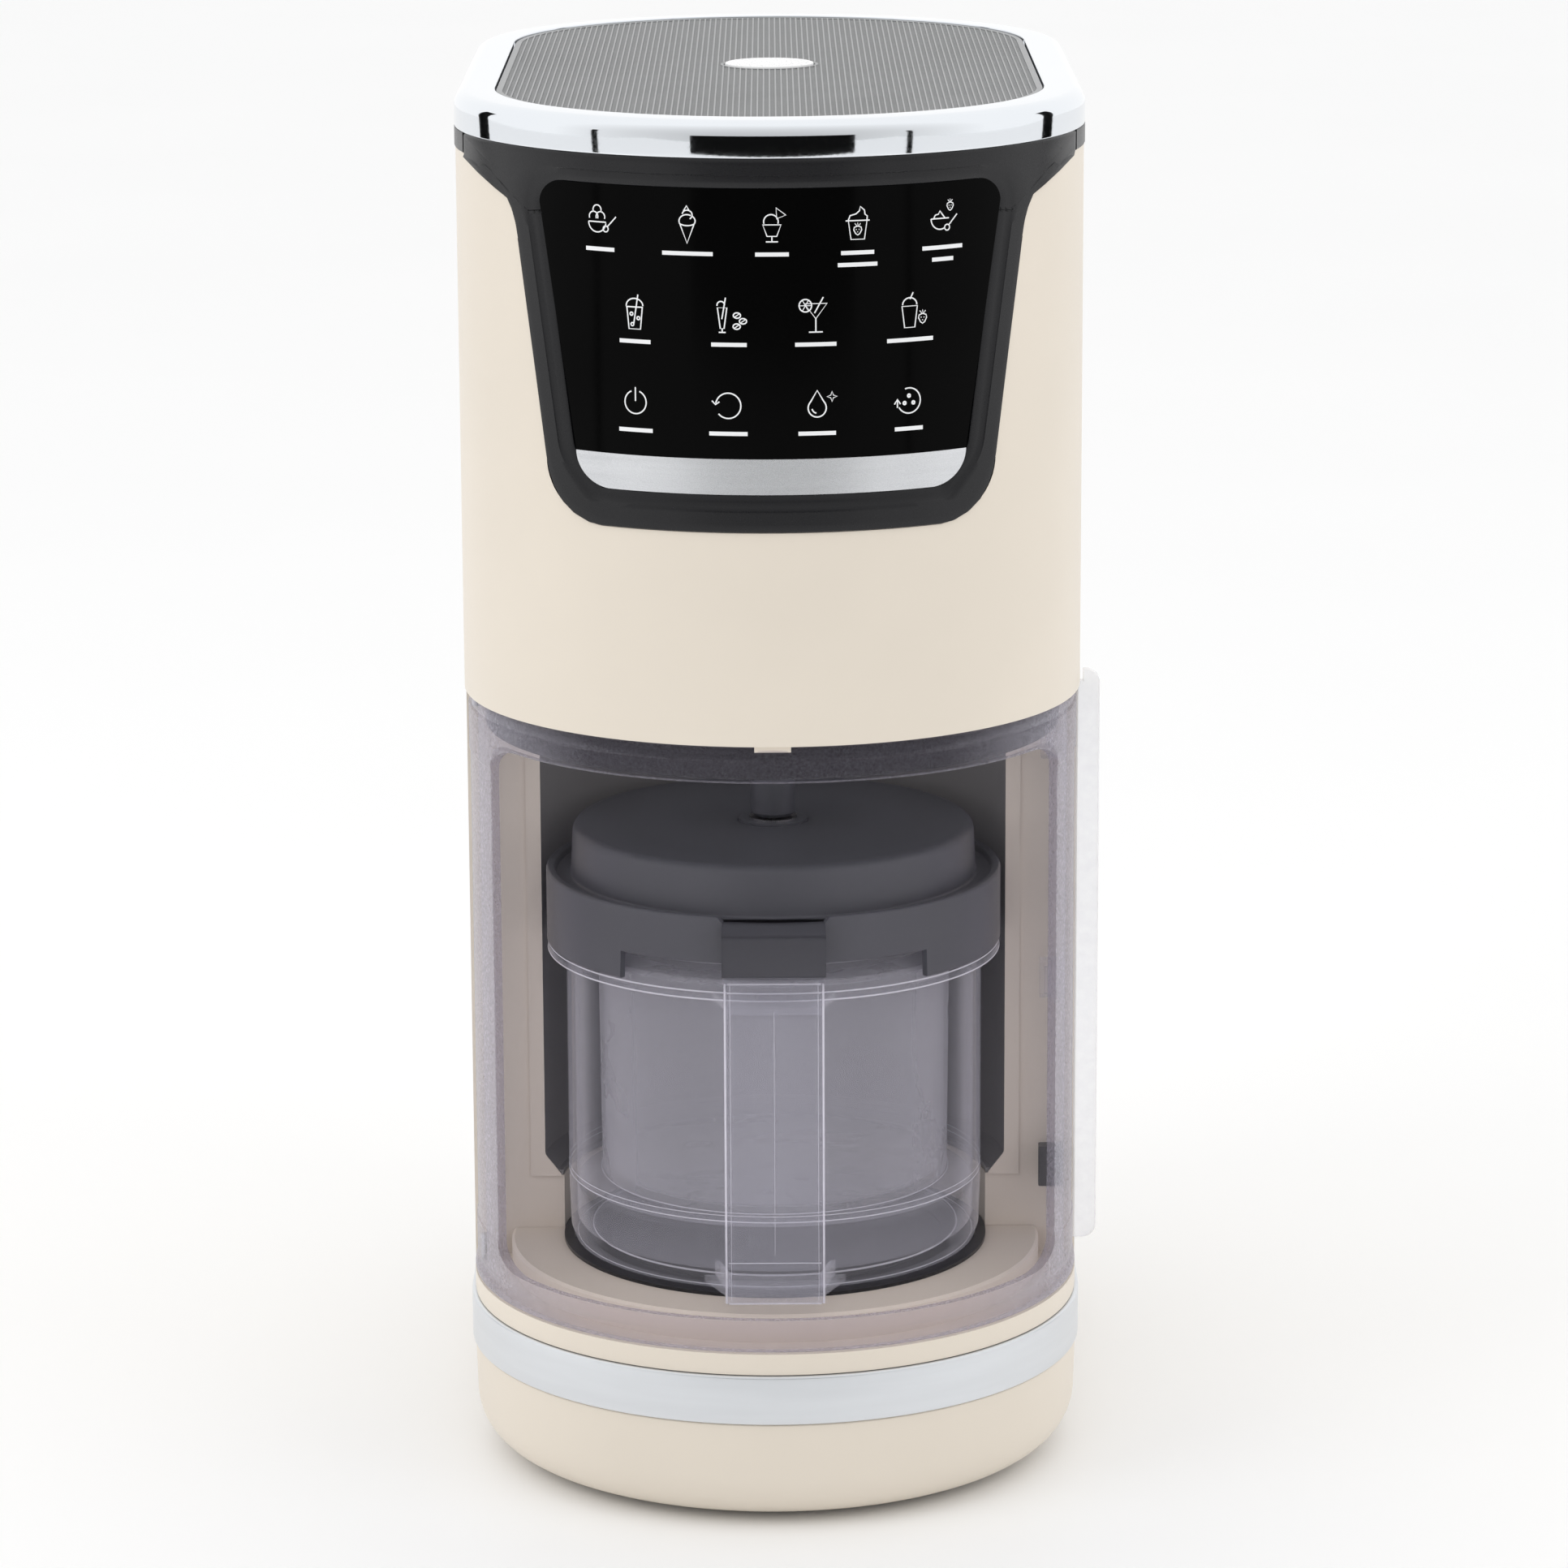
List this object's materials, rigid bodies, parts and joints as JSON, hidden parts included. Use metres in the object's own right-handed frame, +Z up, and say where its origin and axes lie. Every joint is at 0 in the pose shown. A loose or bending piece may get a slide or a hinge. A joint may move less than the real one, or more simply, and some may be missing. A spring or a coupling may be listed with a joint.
{
  "type": "ice cream maker",
  "caption": "Countertop ice cream maker: tall stadium-plan body with a touch panel, chrome-rimmed perforated top, swinging clear door, clear lidded bowl, and a lift-and-turn blade drive",
  "frame": {"origin": "centre of the object's outline in plan, on the surface it stands on", "axes": "+Z up, front and door facing -Y, door handle on the +X side"},
  "size_m": [0.1826, 0.3026, 0.396],
  "materials": {
    "cream_plastic": "satin moulded plastic",
    "satin_band": "satin metallic",
    "chrome": "polished",
    "charcoal_plastic": "fine texture",
    "black_glass": "glossy, printed from behind",
    "brushed_strip": "brushed",
    "grille_metal": "perforated sheet",
    "badge_metal": "satin",
    "frosted_plastic": "frosted tint",
    "smoke_clear": "clear moulded",
    "clear_plastic": "clear moulded",
    "lid_plastic": "satin moulded plastic",
    "dark_liner": "satin moulded plastic",
    "seal_rubber": "soft moulded",
    "foot_rubber": "soft moulded",
    "steel": "bright",
    "motor_steel": "zinc plated",
    "gear_plastic": "self-lubricating nylon",
    "plate_aluminium": "milled",
    "bronze": "sintered",
    "board_green": "circuit board",
    "black_plastic": "moulded plastic"
  },
  "bodies": {
    "body": {"base_shell": "cream_plastic", "base_plate": "black_plastic", "rubber_feet": "foot_rubber", "base_screws": "steel", "trim_band": "satin_band", "base_deck": "cream_plastic", "seat_ring": "charcoal_plastic", "seat_pad": "seal_rubber", "rear_housing": "cream_plastic", "niche_liner": "dark_liner", "chamber_ceiling": "charcoal_plastic", "upper_housing": "cream_plastic", "control_frame": "charcoal_plastic", "control_glass": "black_glass", "trim_strip": "brushed_strip", "control_board": "board_green", "chrome_bezel": "chrome", "top_grille": "grille_metal", "top_badge": "badge_metal", "top_tray": "black_plastic", "tray_posts": "black_plastic", "hinge_pins": "steel", "mid_plate": "plate_aluminium", "guide_rods": "steel", "lift_bracket": "plate_aluminium", "lift_motor": "motor_steel", "power_board": "board_green", "power_inlet": "black_plastic", "door_switch": "black_plastic"},
    "door": {"door_frame": "frosted_plastic", "door_window": "smoke_clear", "door_handle": "clear_plastic", "door_magnet": "steel", "door_clips": "frosted_plastic"},
    "bowl": {"outer_bowl": "clear_plastic", "bowl_handle": "clear_plastic", "inner_tub": "clear_plastic"},
    "lid": {"bowl_lid": "lid_plastic", "lid_seal": "seal_rubber"},
    "sleeve": {"drive_sleeve": "gear_plastic"},
    "blade": {"mixing_blade": "steel"},
    "carriage": {"carriage_plate": "plate_aluminium", "gearbox_plate": "plate_aluminium", "plate_spacers": "steel", "plate_screws": "steel", "guide_bushes": "bronze", "lead_nut": "bronze", "spindle_bearings": "steel", "motor_can": "motor_steel", "motor_stator": "motor_steel"},
    "spindle": {"drive_spindle": "steel", "spindle_gear": "gear_plastic"},
    "rotor": {"motor_rotor": "motor_steel", "motor_pinion": "steel", "motor_fan": "black_plastic"},
    "screw": {"lead_screw": "steel", "screw_gear": "gear_plastic"},
    "lift_shaft": {"lift_pinion": "steel"}
  },
  "joints": [
    {"name": "door_hinge", "type": "hinge", "parent": "body", "child": "door", "pos_m": [-0.0876, -0.0603, 0.14], "axis": [0, 0, -1], "range_deg": [0, 105]},
    {"name": "bowl_slide", "type": "slide", "parent": "body", "child": "bowl", "axis": [0, -1, 0], "range_m": [0, 0.092]},
    {"name": "lid_twist", "type": "hinge", "parent": "bowl", "child": "lid", "pos_m": [-0.0025, -0.0625, 0.16], "axis": [0, 0, 1], "range_deg": [0, 25]},
    {"name": "spindle_lift", "type": "slide", "parent": "body", "child": "carriage", "axis": [0, 0, -1], "range_m": [0, 0.07]},
    {"name": "spindle_spin", "type": "hinge", "parent": "carriage", "child": "spindle", "pos_m": [-0.0025, -0.0625, 0.25], "axis": [0, 0, 1], "continuous": true},
    {"name": "rotor_spin", "type": "hinge", "parent": "carriage", "child": "rotor", "pos_m": [-0.0025, -0.0025, 0.34], "axis": [0, 0, 1], "continuous": true},
    {"name": "sleeve_spin", "type": "hinge", "parent": "lid", "child": "sleeve", "pos_m": [-0.0025, -0.0625, 0.178], "axis": [0, 0, 1], "continuous": true},
    {"name": "blade_plunge", "type": "slide", "parent": "sleeve", "child": "blade", "axis": [0, 0, -1], "range_m": [0, 0.07]},
    {"name": "screw_turn", "type": "hinge", "parent": "body", "child": "screw", "pos_m": [-0.0025, 0.0415, 0.3], "axis": [0, 0, 1], "range_deg": [0, 1261]},
    {"name": "lift_shaft_turn", "type": "hinge", "parent": "body", "child": "lift_shaft", "pos_m": [0.0335, 0.0415, 0.21], "axis": [0, 0, 1], "range_deg": [-3782, 0]}
  ],
  "couplings": [
    {"joint": "bowl_slide", "follows": "door_hinge", "m_per_rad": 0.05},
    {"joint": "rotor_spin", "follows": "spindle_spin", "ratio": -4},
    {"joint": "sleeve_spin", "follows": "spindle_spin", "ratio": 1},
    {"joint": "blade_plunge", "follows": "spindle_lift", "ratio": 1},
    {"joint": "screw_turn", "follows": "spindle_lift", "rad_per_m": 314.16},
    {"joint": "lift_shaft_turn", "follows": "spindle_lift", "rad_per_m": -942.48}
  ]
}
